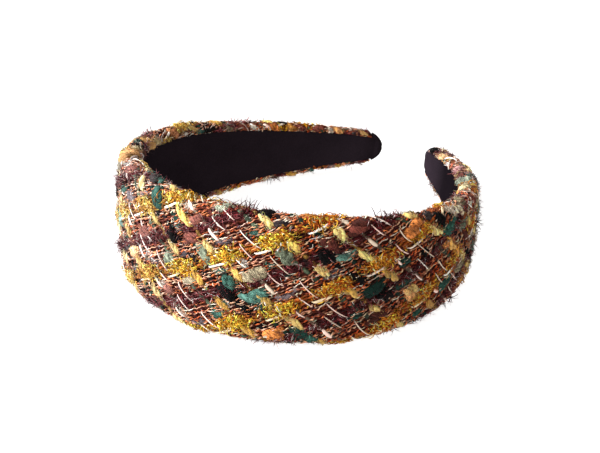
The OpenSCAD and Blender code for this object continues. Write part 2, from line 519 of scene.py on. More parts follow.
def yarn_finish(
    name, grain, fade, contrast, relief,
    dark="0a0506", twist=0.15, girth=2.0, streaks=0.5, curled=False, **constants,
):
    """The yarn's own dye, which turns dark in blots and along its fibres. A curled yarn is shaded
    instead, and has fine curled fibres on it as thin lines of light."""
    material, wire = new_finish(name)
    # The dye attribute holds the dyes with their painted light and shade
    dye = wire.node("ShaderNodeAttribute", {"attribute_name": "dye"})
    uneven = noise(wire, grain) * (1 - streaks) + fibres(wire, twist, girth) * streaks
    blots = (uneven - 0.5) * contrast + fade
    blots = wire.math("MAXIMUM", wire.math("MINIMUM", blots, 1.0), 0.0)
    base = wire.mix(blots, dye, dark, "MULTIPLY" if curled else "MIX")
    base = wire.mix(DYE_DEPTH, "000000", base)
    if curled:
        line = 1 - wire.math("ABSOLUTE", fibres(wire, twist=0.25, girth=3.0) - 0.5) * 12
        base = wire.mix(wire.math("MAXIMUM", line, 0.0), base, (2.2, 2.2, 2.2, 1), "MULTIPLY")
    shade_with(wire, base, uneven, relief, **constants)
    return material


def patchy(s, c, size):
    """Soft patches over the cloth, about that many millimetres across, from 0 to 1."""
    a, b = s / size, c / size
    waves = np.sin(2.1 * a + 1.3 * b) + np.sin(1.7 * b - 2.4 * a + 1)
    waves = waves + 0.8 * np.sin(3.3 * a + 2.9 * b + 2)
    return np.clip(0.5 + waves / 3.6, 0, 1)


def toned(chance, count, shades, odds=None, spread=0.25):
    """A dye for each of count fibres, drawn from the shades and made lighter or darker."""
    shade = np.array([dyed(x) for x in shades.split()])
    shade = shade[chance.choice(len(shade), count, p=odds)]
    return np.clip(shade * chance.uniform(1 - spread, 1 + spread, (count, 1)), 0, 1)


chance = np.random.default_rng(11)
groups = []
for number, (pick, thick, shades) in enumerate(UNDER_PICKS):
    lines = repeated((pick,), PICK_REPEAT, PICK_REACH)
    s, c, t, q, run = yarn_points(lines, -PICK_SLOPE, 1.2)
    lumpy = thick * (1 + 0.2 * np.sin(1.7 * t + 3 * q) + 0.15 * np.sin(4.1 * t))
    over = 0.4 * np.cos(math.pi * (row_of(s, c) / ROW_GAP + number + 1))
    point, up = lay_cloth(s, c, 0.22 - 0.35 * thick + over)
    groups.append((point, up, run + MANY_RUNS * number, lumpy, toned(chance, len(run), shades)))
point, up, run, lumpy, dye = (np.concatenate([g[k] for g in groups]) for k in range(5))
material = yarn_finish(
    "under_picks", grain=1.8, fade=0.3, contrast=3.2, relief=0.4, Roughness=0.95
)
spun("under_picks", material, point, up, run, lumpy * 0.8, lumpy * 0.42, 6, dye)

# The copper and rose ends. Each is a bright metal-wrapped strand plied with a dark one, and is
# painted dark on each turn where it goes under, as the dark strand and as painted shade, so that
# it shows as a row of slanted dashes. They lie side by side in every row of the tweed.
STEPS_PER_TURN = 4
COPPER_ROWS = (-4.3, -2.6, 2.85, 4.65, 6.5, 13.75)
BRONZE_ROWS = (-5.15, 2.0, 3.75, 8.3, 12.85, 14.6)
ROSE_ROWS = (-3.45, 5.6, 7.4)
COPPER = "f49458 e87c40 fcbc98 e06c34 fed0b0 f0ac84 d88050"
BRONZE = "c06438 a45030 dc8858 84402c c49078"
ROSE = "fabc9c f2a47e ffdcca"
# Dark strand of the ply, and painted shade where the bright strand goes under
DARK_STRAND_AND_SHADE = "74362a"
DASHES = 997


def ply(name, rows, seed, shades, pitch, reach, thick, dark_below, height, dip):
    """Plied ends along each of the rows, painted dark where the bright strand goes under: the dark
    strand of the ply and painted shade.
    """
    lines = repeated(rows, ROW_REPEAT, YARN_REACH)
    s, c, t, p, run = yarn_points(lines, ROW_SLOPE, pitch / STEPS_PER_TURN)
    chance = np.random.default_rng(seed)
    crossed_pick = (pick_of(s, c) - FIRST_PICK) / PICK_GAP + np.rint(p / ROW_GAP)
    wander = chance.normal(0, 0.14, run.max() + 1)[run] + 0.22 * np.sin(0.31 * t + 2.3 * p)
    turn = 2 * math.pi * t / pitch + 2.4 * np.floor(p / 0.8) + 1.5 * np.sin(0.6 * t + p)
    aside = wander + 0.15 * np.sin(1.9 * t + 5 * p) + 0.09 * np.sin(4.3 * t + 3 * p)
    aside = aside - reach * 0.7 * np.cos(turn)
    raised = height + reach * np.sin(turn) + dip * np.cos(math.pi * crossed_pick)
    raised = raised + 0.12 * np.sin(2.6 * t + 7 * p) + chance.normal(0, 0.05, len(run))
    path, up = lay_cloth(s - aside * ROW_SIN, c + aside * ROW_COS, raised)
    dash = (np.floor(turn / (2 * math.pi) + 0.25) * 7 + run * 31).astype(int) % DASHES
    shade = np.array([dyed(x) for x in shades.split()])
    shade = shade[chance.integers(len(shade), size=DASHES)]
    shade = shade * chance.choice((0.65, 0.9, 1.05, 1.15, 1.25), (DASHES, 1))
    bright = (0.65 + 0.6 * patchy(s, c, 5.0))[:, None]
    # Turns where the bright strand goes under are painted dark: the dark strand and painted shade
    under = (np.sin(turn) < dark_below)[:, None]
    dye = np.clip(np.where(under, dyed(DARK_STRAND_AND_SHADE), shade[dash] * bright), 0, 1)
    slim = thick * (1 + 0.25 * np.sin(3.4 * t + 9 * p))
    spun(name, plied_finish, path, up, run, slim, slim, 3, dye)


plied_finish = yarn_finish(
    "plied_ends", grain=1.6, fade=0.12, contrast=3.0, relief=0.12,
    dark="5a2414", twist=0.45, Roughness=0.4, Metallic=0.2,
)
ply(
    "copper_ends", COPPER_ROWS, 1, COPPER,
    pitch=1.75, reach=0.16, thick=0.28, dark_below=-0.7, height=0.1, dip=0.2,
)
ply(
    "bronze_ends", BRONZE_ROWS, 2, BRONZE,
    pitch=1.45, reach=0.17, thick=0.3, dark_below=-0.35, height=-0.1, dip=0.3,
)
ply(
    "rose_ends", ROSE_ROWS, 3, ROSE,
    pitch=2.4, reach=0.08, thick=0.2, dark_below=-0.9, height=0.3, dip=0.1,
)

# The loose loops. Short lengths of the plied ends have slipped out of the rows, and with them a
# few fibres of the other yarns, so the cloth's face is never smooth.
LOOSE_LOOPS = 2800
LOOSE_SHADES = "f4a878 fcd0b4 e08448 b85c30 6c2c20 a4ac98 57826f ece0d0 84767c"


def scatter(chance, count, rows, spread):
    """Places (s, c) spread evenly along the rows, a little to each side: count of them or more."""
    lines = repeated(rows, ROW_REPEAT, YARN_REACH)
    p = chance.choice(lines, count * 4) + chance.uniform(-spread, spread, count * 4)
    t = chance.uniform(-YARN_ENDS, YARN_ENDS, count * 4)
    s = t * ROW_COS - p * ROW_SIN
    c = t * ROW_SIN + p * ROW_COS
    on = (np.abs(s) < COVER_END - 1.5) & (np.abs(c) < cloth_half(s) - 0.5)
    return s[on], c[on]


def hairs(
    name, material, s, c, h, length, lean, heading, thick, dye, rings,
    arch=0.0, curl=0.0, taper=0.2, twist=0.6,
):
    """Short fibres from places on the cloth: they head along it and lean up off it."""
    u = np.linspace(0, 1, rings)
    run = np.repeat(np.arange(len(s)), rings)
    flat = (length * np.cos(lean))[:, None] * u
    rise = (length * np.sin(lean))[:, None] * u + arch * np.sin(math.pi * u)[None] * length[:, None]
    bend = heading[:, None] + curl * np.cos(5 * heading)[:, None] * u
    s = (s[:, None] + flat * np.cos(bend)).ravel()
    c = (c[:, None] + flat * np.sin(bend)).ravel()
    c = np.clip(c, 0.6 - cloth_half(s), cloth_half(s) - 0.6)
    point, up = lay_cloth(s, c, (h[:, None] + rise).ravel())
    thin = np.tile(1 - (1 - taper) * u, len(thick)) * np.repeat(thick, rings)
    sideways = np.stack([np.cos(run * 2.4), np.sin(run * 2.4), np.cos(run * 1.7)], -1)
    dyes = np.repeat(dye, rings, axis=0)
    up = unit(up + twist * sideways)
    spun(name, material, point, up, run, thin, thin * 0.45, 3, dyes)


chance = np.random.default_rng(12)
rows = COPPER_ROWS + BRONZE_ROWS + ROSE_ROWS
s, c = (x[:LOOSE_LOOPS] for x in scatter(chance, LOOSE_LOOPS, rows, 0.4))
count = len(s)
hairs(
    "loose_loops", plied_finish, s, c,
    h=chance.uniform(0.0, 0.35, count),
    length=chance.uniform(0.8, 1.9, count),
    lean=chance.uniform(-0.2, 0.35, count),
    heading=ROW_SLOPE + chance.normal(0, 0.35, count) + math.pi * chance.integers(2, size=count),
    thick=chance.uniform(0.13, 0.24, count),
    dye=toned(chance, count, LOOSE_SHADES, spread=0.35),
    rings=4, arch=0.2, curl=1.4, taper=0.7, twist=0.5,
)

# The gold ends. Three soft cores run side by side, and crinkled loops of gold film stand out of
# them wherever the end comes to the face of the cloth, twice in each repeat of the picks.
GOLD_ROWS = (-0.9, 0.1, 1.1)
GOLD_FACES = (12.9, 28.3)
GOLD_REACH = 4.6
GOLD_FLAKES, GOLD_LOOPS = 9200, 2400
# Gold is sparse past THINS on the +X arm, and on the other past THINS in its lower half and past
# ENDS in all of it. It is half as thick between the FAINT places, and the circle GAP has none.
# Its hue changes at TURNS, to orange as painted shade on the side away from the light.
GOLD_THINS, GOLD_ENDS = 88.0, -125.0
GOLD_FAINT_FROM, GOLD_FAINT_TO = -45.0, -22.0
GOLD_GAP_S, GOLD_GAP_C, GOLD_GAP_RADIUS = 77.0, 20.5, 6.5
GOLD_TURNS = 32.0


def cores(name, material, rows, thick, shades, seed):
    """Plain soft ends that fill their rows."""
    s, c, t, p, run = yarn_points(repeated(rows, ROW_REPEAT, YARN_REACH), ROW_SLOPE, 1.2)
    chance = np.random.default_rng(seed)
    lumpy = thick * chance.uniform(0.6, 1.4, len(run))
    s, c = s + chance.normal(0, 0.18, len(run)), c + chance.normal(0, 0.18, len(run))
    point, up = lay_cloth(s, c, chance.normal(0, 0.15, len(run)) - 0.1)
    dye = toned(chance, len(run), shades)
    spun(name, material, point, up, run, lumpy, lumpy * 0.8, 5, dye)


def gold_places(chance, count, spread):
    """Places on the gold ends, most of them where an end comes to the face, and how bright."""
    s, c = scatter(chance, count * 4, GOLD_ROWS, spread)
    past = pick_of(s, c)[:, None] - np.array(GOLD_FACES) + PICK_REPEAT / 2
    past = past % PICK_REPEAT - PICK_REPEAT / 2
    shows = np.abs(past).min(axis=1) / GOLD_REACH
    likely = np.clip(1.9 - 1.5 * shows, 0.1, 1)
    sparse = (s > GOLD_THINS) | (s < -GOLD_THINS) & (c < 0) | (s < GOLD_ENDS)
    likely *= np.where(sparse, 0.2, 1)
    likely *= np.where((s < GOLD_FAINT_TO) & (s > GOLD_FAINT_FROM), 0.55, 1)
    kept = chance.uniform(0, 1, len(s)) < likely
    kept &= np.hypot(s - GOLD_GAP_S, c - GOLD_GAP_C) > GOLD_GAP_RADIUS
    s, c, shows = s[kept][:count], c[kept][:count], shows[kept][:count]
    return s, c, np.clip(1.3 - 0.5 * shows, 0.5, 1.1) * (0.5 + 0.8 * patchy(s, c, 1.3))


def gold_dye_and_shade(chance, s, count):
    """Dyes for gold film: yellow toward the light, and orange as painted shade away from it."""
    odds = (0.36, 0.28, 0.28, 0.08)
    yellow = toned(chance, count, "eaac28 fcdc50 b8741a fff4c0", odds)
    orange = toned(chance, count, "e89c24 f8ca40 b8580e fff0b0", odds)
    return np.where((s < GOLD_TURNS)[:, None], yellow, orange)


material = yarn_finish(
    "gold_film", grain=2.0, fade=0.05, contrast=2.5, relief=0.05,
    dark="a05a10", Roughness=0.35, Metallic=0.3,
)
chance = np.random.default_rng(3)
s, c, shows = gold_places(chance, GOLD_FLAKES, 1.5)
count = len(s)
hairs(
    "gold_flakes", material, s, c,
    h=chance.uniform(0.0, 0.6, count) + 0.25 * shows,
    length=chance.uniform(0.5, 1.3, count),
    lean=chance.uniform(-0.3, 0.5, count),
    heading=chance.uniform(0, 2 * math.pi, count),
    thick=chance.uniform(0.2, 0.42, count),
    dye=gold_dye_and_shade(chance, s, count) * shows[:, None],
    rings=2, taper=0.7, twist=0.9,
)
s, c, shows = gold_places(chance, GOLD_LOOPS, 1.6)
count = len(s)
hairs(
    "gold_loops", material, s, c,
    h=chance.uniform(0.2, 0.8, count),
    length=chance.uniform(1.4, 2.8, count),
    lean=chance.uniform(-0.1, 0.5, count),
    heading=chance.uniform(0, 2 * math.pi, count),
    thick=chance.uniform(0.12, 0.25, count),
    dye=gold_dye_and_shade(chance, s, count) * shows[:, None],
    rings=4, arch=0.3, curl=1.5, taper=0.6, twist=1.2,
)
cores("gold_cores", material, GOLD_ROWS, 0.5, "ac6024 bc6c28 804016", seed=4)

# The plum ends. Dark wine cores carry fine spiky hairs of one to four millimetres, a few of them
# pale and shiny, and thicker dark lashes stand up in a few clumps.
PLUM_ROWS = (9.9, 10.8, 11.7)
PLUM_HAIRS, LASH_HAIRS = 12000, 150
# Places (s, c) of the clumps
LASHES = (
    (15.5, 22.4), (16.5, 22.4), (60.0, 21.4), (90.0, -15.0),
    (67.0, -21.0), (-34.5, 16.0), (-35.0, -7.0), (110.0, 4.0),
)

material = yarn_finish(
    "plum_eyelash", grain=2.0, fade=0.2, contrast=2.5, relief=0.05,
    dark="34080e", Roughness=0.4, Metallic=0.15,
)
chance = np.random.default_rng(5)
s, c = (x[:PLUM_HAIRS] for x in scatter(chance, PLUM_HAIRS, PLUM_ROWS, 1.3))
count = len(s)
longer = chance.uniform(0, 1, count) < 0.25
odds = (0.38, 0.26, 0.24, 0.12)
plum_dyes = toned(chance, count, "983840 bc6c6c 4c121a ffdcd8", odds, 0.4)
hairs(
    "plum_eyelash", material, s, c,
    h=chance.uniform(0.0, 0.6, count),
    length=chance.uniform(0.8, 2.0, count) + longer * chance.uniform(0.8, 2.2, count),
    lean=chance.uniform(0.0, 1.1, count),
    heading=chance.uniform(0, 2 * math.pi, count),
    thick=chance.uniform(0.07, 0.14, count) * np.where(longer, 1.5, 1),
    dye=plum_dyes * np.where(longer, 0.7, 1)[:, None],
    rings=2, taper=0.3,
)
clump = chance.integers(len(LASHES), size=LASH_HAIRS)
spread = chance.normal(0, 1, (2, LASH_HAIRS)) * np.array([[2.4], [0.8]])
s, c = np.array(LASHES)[clump].T + spread
hairs(
    "plum_lashes", material, s, c,
    h=chance.uniform(0.2, 0.6, LASH_HAIRS),
    length=chance.uniform(2.0, 4.0, LASH_HAIRS),
    lean=chance.uniform(0.4, 1.2, LASH_HAIRS),
    heading=chance.uniform(0, 2 * math.pi, LASH_HAIRS),
    thick=chance.uniform(0.14, 0.24, LASH_HAIRS),
    dye=toned(chance, LASH_HAIRS, "4c141c 2a080c 64262e"),
    rings=4, arch=0.08, curl=0.6, taper=0.4,
)
cores("plum_cores", material, PLUM_ROWS, 0.4, "4c141c 5e2424 2a080c", seed=6)

# The stray fibres. Fine pale and wine hairs have worked loose along both edges of the band.
# They are single fibres of the yarns, each a few millimetres long and curled at its free end.
STRAY_FIBRES = 500
STRAY_SHADES = "d8ccb8 a8b09c 5a1c22 8a4a44 c8a050"

chance = np.random.default_rng(13)
s = chance.uniform(-COVER_END + 3, COVER_END - 3, STRAY_FIBRES)
side = chance.choice((-1, 1), STRAY_FIBRES)
past_face = edge_round(s) * chance.uniform(0, 0.7, STRAY_FIBRES)
hairs(
    "stray_fibres", material, s, side * (half_width(s) - edge(s) + past_face),
    h=chance.uniform(0.3, 0.8, STRAY_FIBRES),
    length=chance.uniform(1.2, 3.0, STRAY_FIBRES),
    lean=chance.uniform(0.1, 0.9, STRAY_FIBRES),
    heading=chance.uniform(0, 2 * math.pi, STRAY_FIBRES),
    thick=chance.uniform(0.035, 0.06, STRAY_FIBRES),
    dye=toned(chance, STRAY_FIBRES, STRAY_SHADES),
    rings=5, arch=0.15, curl=1.6,
)

# The slubs. Thick soft lumps of loosely spun wool come and go along some rows and picks. Those
# that the photo shows are charted one by one, and all others come in the order of their yarns.
WOOL = {
    "teal": "567e72 456c60 6c9286",
    "pine": "30564c 264840 3e6a5e",
    "sage": "8c9480 9ea690 7a826e",
    "khaki": "a89c80 968a70 b8ac90",
    "black": "0e0a0b 161012 090607",
    "slate": "4a4040 5a4e4c 38302f",
    "mauve": "6c6064 807274 5a5054",
    "brown": "704038 804c42 5a342c",
    "heather": "8c5448 a06658 744238",
    "peach": "dc9c5c e8b076 c88444",
    "rust": "a0603a b4703f 884c2c",
    "rose": "b88480 c8968e a26e6a",
    "white": "f0e2d0 f8eee0 e0d0bc",
    "tan": "d4a460 c08e4c e4bc80",
    "honey": "d89c44 c88834 e8b45c",
    "cream": "dccca0 ccb884 ece0c0",
}
# yarn, s, c, length, width, and whether it lies along a row (1) or a pick (0)
CHARTED = (
    ("pine", -13.2, 18.2, 6.4, 5, 0), ("mauve", -18.9, 16.7, 5, 2, 1),
    ("black", -11.8, 13.6, 3.2, 2.4, 1), ("heather", -18.4, 5.6, 6, 4, 1),
    ("black", -4.5, 8.6, 5.2, 4.4, 0), ("brown", 1.1, 10, 4.8, 3.8, 1),
    ("teal", -3.2, 11.4, 3.4, 1.6, 0), ("heather", 3, 16.4, 5.5, 3.4, 1),
    ("sage", 10.6, 22.6, 5, 3.2, 1), ("sage", 6.2, 4.6, 9, 3.4, 0),
    ("teal", 11.6, 2, 3.2, 2.4, 1), ("teal", 14.6, -0.9, 5, 4.4, 0),
    ("black", 14, -5.8, 7, 4.4, 0), ("teal", 21.5, -3.7, 8, 4.2, 1),
    ("sage", -6.7, 0.9, 5, 4, 1), ("mauve", 0.2, 3.9, 5, 2, 1),
    ("khaki", 1.1, -4.6, 4.6, 3, 1), ("mauve", -12, -2.7, 4.6, 1.8, 1),
    ("white", -15.4, -2, 5, 1.8, 0), ("white", 17.7, 6.6, 3.6, 2, 0),
    ("heather", -6.4, -10.5, 5, 3.6, 1), ("white", -8.6, -9.3, 3, 1.8, 0),
    ("white", -0.8, -16.3, 4.4, 2, 0), ("mauve", 4.3, -17.7, 5.4, 2.2, 1),
    ("teal", 10.8, -13.3, 4.4, 3, 1), ("white", -0.6, 19.2, 5, 2, 0),
    ("mauve", 12.4, 10.8, 6, 2.1, 1), ("pine", 13, -8.2, 3, 2.4, 1),
    ("slate", 18, -10.4, 4, 2, 1), ("slate", 27.6, 18.6, 7.5, 2.3, 1),
    ("black", 24, 22.4, 5, 3.6, 1), ("teal", 20.8, 15.7, 3, 1.8, 1),
    ("sage", 30.2, 9.8, 5, 4.2, 0), ("khaki", 21.8, 3.6, 7.8, 4.2, 1),
    ("teal", 26.3, 6.4, 2.4, 1.6, 1), ("pine", 31.4, 3.1, 2.8, 1.6, 1),
    ("black", 33, 15.7, 5, 2.6, 0), ("heather", 42, 13.8, 5.4, 3.8, 0),
    ("heather", 49.3, 19.4, 8.4, 4.4, 1), ("black", 41.6, 9.4, 5.6, 4.6, 0),
    ("teal", 46.4, 10.4, 5.4, 3.2, 1), ("mauve", 43.2, 3.8, 5.6, 2.2, 1),
    ("black", 50.6, 2.9, 6.4, 3.2, 0), ("pine", 54.9, -1.2, 8.2, 4.6, 1),
    ("black", 59.3, -3.9, 5.4, 4.6, 0), ("mauve", 31.1, -2.7, 6.4, 2.4, 1),
    ("pine", 24.7, -7.9, 5, 3.4, 0), ("black", 19.9, -9.8, 3.4, 2.8, 0),
    ("pine", 34.9, -14.9, 5.4, 4, 0), ("teal", 38.2, -17.4, 4.4, 3.2, 0),
    ("peach", 27.7, -17, 5.4, 4.2, 1), ("pine", 50.8, -10.5, 5.2, 2.8, 1),
    ("brown", 57.6, -11.8, 7.4, 4.2, 1), ("pine", 45.2, -13.3, 3.4, 2, 1),
    ("black", 51.9, 8.5, 3, 2, 0), ("peach", 67.8, 16.4, 6.6, 4.8, 1),
    ("black", 78.9, 16.2, 4.4, 4, 0), ("pine", 83.5, 12.8, 6.4, 4.4, 1),
    ("slate", 60.2, 12, 4.4, 1.8, 1), ("pine", 65.2, -2.3, 7, 3, 1),
    ("peach", 69, -6.3, 6.4, 3.8, 0), ("pine", 84.4, -7.4, 7.2, 4, 1),
    ("pine", 66, 5.3, 4.4, 2.8, 1), ("black", 73, 7.6, 4, 2.6, 0),
    ("pine", 72.8, -14, 5.4, 2.6, 1), ("pine", -35, 13.8, 5, 3.4, 1),
    ("slate", -31.7, -6.3, 5.4, 3, 1), ("mauve", -25, -10.8, 6, 1.8, 1),
    ("peach", -23.8, -4.4, 5.4, 4.4, 1), ("heather", -27.2, -1.9, 5, 3, 1),
    ("honey", -47, 21.5, 7, 6.4, 0), ("honey", -69, 24.4, 8, 5, 0),
    ("pine", -64.2, 21.5, 4, 3, 1), ("white", -79.2, 24.6, 5, 2.2, 0),
    ("white", -95.2, 25.2, 4, 2.4, 0), ("pine", -104.2, 24.2, 5, 3, 1),
    ("black", -107.2, 22, 5, 3.4, 0), ("khaki", -117.8, 21.5, 4, 3, 0),
    ("sage", 124.8, 16.6, 7, 5.6, 1), ("teal", 125.2, 17.6, 3.4, 2.6, 0),
    ("white", 156.5, 15.8, 4, 3, 0), ("tan", 167.8, 13.2, 6, 4, 1),
    ("rose", 143, 16.2, 7, 4, 0), ("cream", 115.5, 17.6, 6, 4.4, 0),
    ("cream", 91, 16.4, 5.4, 3.4, 0), ("khaki", 97, 18.6, 5, 4, 1),
    ("white", 86.2, 17.8, 5, 3.2, 0), ("slate", 75, 19.2, 4, 3.4, 1),
    ("sage", 92.5, 11, 5, 3.6, 1), ("peach", 83.8, 7, 3.6, 2.8, 1),
    ("tan", 90.8, 2.5, 5.4, 3, 0), ("tan", 97, -10.2, 6, 4, 1),
    ("heather", -33.5, 20.5, 5.4, 3.8, 1), ("white", -40, 21.4, 6, 1.8, 0),
    ("rust", -89, 23, 7, 3.6, 0), ("black", -59, 22.5, 4, 2.6, 1),
    ("heather", -125, 18.6, 6, 3, 0), ("white", -130, 19, 4, 2.6, 0),
    ("black", -142, 14.6, 6, 3.4, 1), ("heather", -158.8, 13.8, 6, 3.2, 1),
    ("rust", 79.5, 19.8, 5, 2.8, 0), ("heather", 105, 14.5, 6, 3.4, 0),
    ("white", 103, 3.4, 4, 2.4, 0), ("heather", 96, 5.5, 6, 3.2, 0),
    ("black", 99, -1.5, 5, 3.4, 0), ("khaki", 109, 12.4, 6, 3.4, 0),
    ("mauve", -28.5, 12.8, 5, 4, 1), ("rust", -139.6, 17.6, 6, 3.6, 0),
    ("tan", -146.4, 15.6, 6, 3.4, 0), ("heather", -150.8, 15.6, 5, 3, 0),
    ("white", -164, 13.8, 3, 2.2, 0), ("peach", -167.4, 12.8, 5, 3, 0),
    ("slate", -175, 12.6, 3.6, 2.6, 0), ("tan", -178.6, 11.6, 3.6, 2.6, 0),
    ("rust", -72, -17, 6, 3, 0), ("black", -82, -19, 5, 3, 1),
    ("brown", -98, -17, 6, 3, 0), ("rust", -112, -16, 6, 3, 0),
)
# The face on which the chart has every slub: s from and to, and c on both sides of the middle
SHOWN_FROM, SHOWN_TO, SHOWN_HALF = -36.0, 90.0, 21.0
CLEAR_OF_CHARTED = 5.5
TUFT_REPEAT = ROW_REPEAT / 2
# First row and gap, first pick and gap, yarns, lie, length and width of the slubs in order
ORDERED = (
    (9.1, TUFT_REPEAT, 4.2, PICK_REPEAT, ("black", "black", "slate"), 0, 5.2, 3.8),
    (9.1, TUFT_REPEAT, 7.9, PICK_REPEAT, ("pine", "brown", "teal"), 0, 5.2, 3.6),
    (3.65, ROW_REPEAT, 0.0, 10.5, ("mauve", "slate", "sage", "peach"), 1, 5.2, 2.3),
    (-6.0, ROW_REPEAT, 5.0, 10.5, ("sage", "heather", "teal", "khaki"), 1, 5.8, 3.6),
)
# All slubs are this much longer and slimmer than their listed sizes
LONGER, SLIMMER = 1.08, 0.94
STRANDS, STRAND_RINGS = 5, 9


def crossings(first_row, row_gap, first_pick, pick_gap):
    """Places (s, c) on the cloth where rows that come at a gap cross picks that come at one."""
    rows = repeated((first_row,), row_gap, PICK_REACH)
    p, q = np.meshgrid(rows, repeated((first_pick,), pick_gap, PICK_REACH))
    s = ((q * ROW_COS - p * PICK_COS) / CROSSING).ravel()
    c = ((p * PICK_SIN + q * ROW_SIN) / CROSSING).ravel()
    on = (np.abs(s) < COVER_END - 2.5) & (np.abs(c) < cloth_half(s) - 1)
    return s[on], c[on]


def ordered_slubs(chance):
    """Slubs by the order of their yarns, where the chart has none."""
    found = []
    for first_row, row_gap, first_pick, pick_gap, yarns, lies, length, width in ORDERED:
        s, c = crossings(first_row, row_gap, first_pick, pick_gap)
        hidden = (s < SHOWN_FROM) | (s > SHOWN_TO) | (np.abs(c) > SHOWN_HALF)
        nearest = np.min([np.hypot(s - slub[1], c - slub[2]) for slub in CHARTED], axis=0)
        kept = hidden & (nearest > CLEAR_OF_CHARTED) & (chance.uniform(0, 1, len(s)) < 0.8)
        for place_s, place_c in zip(s[kept], c[kept]):
            yarn = yarns[chance.integers(len(yarns))]
            grown = chance.uniform(0.8, 1.2)
            place_s += chance.uniform(-1, 1)
            found.append((yarn, place_s, place_c, length * grown, width * grown, lies))
    return found


def moved(s, c, heading, ahead, aside):
    """Places (s, c) moved ahead along their headings and aside."""
    cos, sin = np.cos(heading), np.sin(heading)
    return s + ahead * cos - aside * sin, c + ahead * sin + aside * cos


def wound(name, material, lumps, dyes, chance, sides, flat, sink, turns, splay):
    """Lumps of yarn, each of plump strands that wind round each other and sink in at both ends.
    The rows of lumps are s, c, heading, length and width."""
    whole = np.repeat(np.arange(len(dyes)), STRANDS)
    count = len(whole)
    u = np.linspace(-1, 1, STRAND_RINGS)
    first = np.tile(np.arange(STRANDS), len(dyes)) / STRANDS
    first = first + chance.uniform(0, 1, len(dyes))[whole]
    turn = math.pi * turns * u * chance.uniform(0.7, 1.3, (count, 1))
    turn = 2 * math.pi * first[:, None] + turn
    body = np.sqrt(np.clip(1 - np.abs(u) ** chance.uniform(2.6, 4.4, (count, 1)), 0.04, 1))
    s, c, heading, length, width = lumps[:, whole, None]
    wide = width * body
    long = length * chance.uniform(0.75, 1.05, (count, 1))
    ahead = chance.uniform(-0.16, 0.16, (count, 1)) * length + long / 2 * u
    bow = chance.uniform(-0.12, 0.12, len(dyes))[whole, None] * length * (1 - u**2)
    splayed = splay * chance.normal(0, 1, (count, 1)) * np.abs(u) ** 3
    s, c = moved(s, c, heading, ahead, 0.27 * wide * np.cos(turn) + bow + splayed)
    c = np.clip(c, 1.4 - cloth_half(s), cloth_half(s) - 1.4)
    rise = wide * flat * (0.35 + 0.27 * np.sin(turn)) - sink
    point, up = lay_cloth(s.ravel(), c.ravel(), rise.ravel())
    lump = 1 + chance.uniform(-0.12, 0.12, (count, STRAND_RINGS, sides))
    for k in (2, 3):
        phase = chance.uniform(0, 2 * math.pi, (2, count, 1, 1))
        speed = chance.uniform(3, 8, (count, 1, 1))
        bumps = np.sin(k * np.arange(sides) * (2 * math.pi / sides) + phase[0])
        lump = lump + 0.14 * bumps * np.sin(speed * u[:, None] + phase[1])
    strand = (0.27 * wide * chance.uniform(0.8, 1.2, (count, 1))).ravel()
    streak = chance.uniform(0.65, 1.4, (count, 1, 1))
    streak = streak * chance.uniform(0.7, 1.3, (count, STRAND_RINGS, sides))
    dye = (dyes[whole][:, None, None] * streak[..., None]).reshape(-1, sides, 3)
    run = np.repeat(np.arange(count), STRAND_RINGS)
    lump = lump.reshape(-1, sides)
    spun(name, material, point, up, run, strand, strand * 0.6, sides, dye, lump)


def crossed(name, lumps, chance, each):
    """Ends of the tweed that cross the borders of lumps of yarn."""
    s, c, heading, length, width = np.repeat(lumps, each, axis=1)
    count = len(s)
    angle = chance.uniform(0, 2 * math.pi, count)
    size = chance.uniform(0.33, 0.55, count)
    ahead, aside = size * np.cos(angle) * length, size * np.sin(angle) * width
    hairs(
        name, plied_finish, *moved(s, c, heading, ahead, aside),
        h=np.minimum(width * 0.28, 0.8) * (1.25 - size),
        length=chance.uniform(1.0, 2.4, count),
        lean=chance.uniform(-0.15, 0.05, count),
        heading=ROW_SLOPE + chance.normal(0, 0.15, count),
        thick=chance.uniform(0.18, 0.3, count),
        dye=toned(chance, count, "e08c58 f4b490 b86438 4c211a fcdcc8"),
        rings=3, arch=0.08, taper=0.7, twist=0.2,
    )


def fuzz(name, material, lumps, dyes, chance, each, flat, along, thick):
    """Loose fibres on lumps of yarn, a share of them along it and the others off its sides."""
    s, c, heading, length, width = np.repeat(lumps, each, axis=1)
    count = len(s)
    ahead = chance.uniform(-0.5, 0.4, count) * length
    side = chance.choice((-1, 1), count)
    aside = chance.uniform(0.0, 0.48, count) * side * width
    over = np.sqrt(1 - (2 * aside / width) ** 2 * 0.95)
    runs_along = chance.uniform(0, 1, count) < along

    def either(low, high, side_low, side_high, turn=0):
        along_it = chance.uniform(low, high, count)
        return np.where(runs_along, along_it, turn + chance.uniform(side_low, side_high, count))

    hairs(
        name, material, *moved(s, c, heading, ahead, aside),
        h=width * flat / 2 * (0.5 + over),
        lean=either(-0.15, 0.15, 0.1, 1.1),
        heading=heading + either(-0.6, 0.6, -1.2, 1.2, side * math.pi / 2),
        length=either(0.8, 2.0, 0.5, 1.4),
        dye=np.repeat(dyes, each, axis=0) * chance.choice((0.65, 0.9, 1.3, 1.7), (count, 1)),
        thick=chance.uniform(*thick, count),
        rings=3, arch=0.15, curl=1.2,
    )


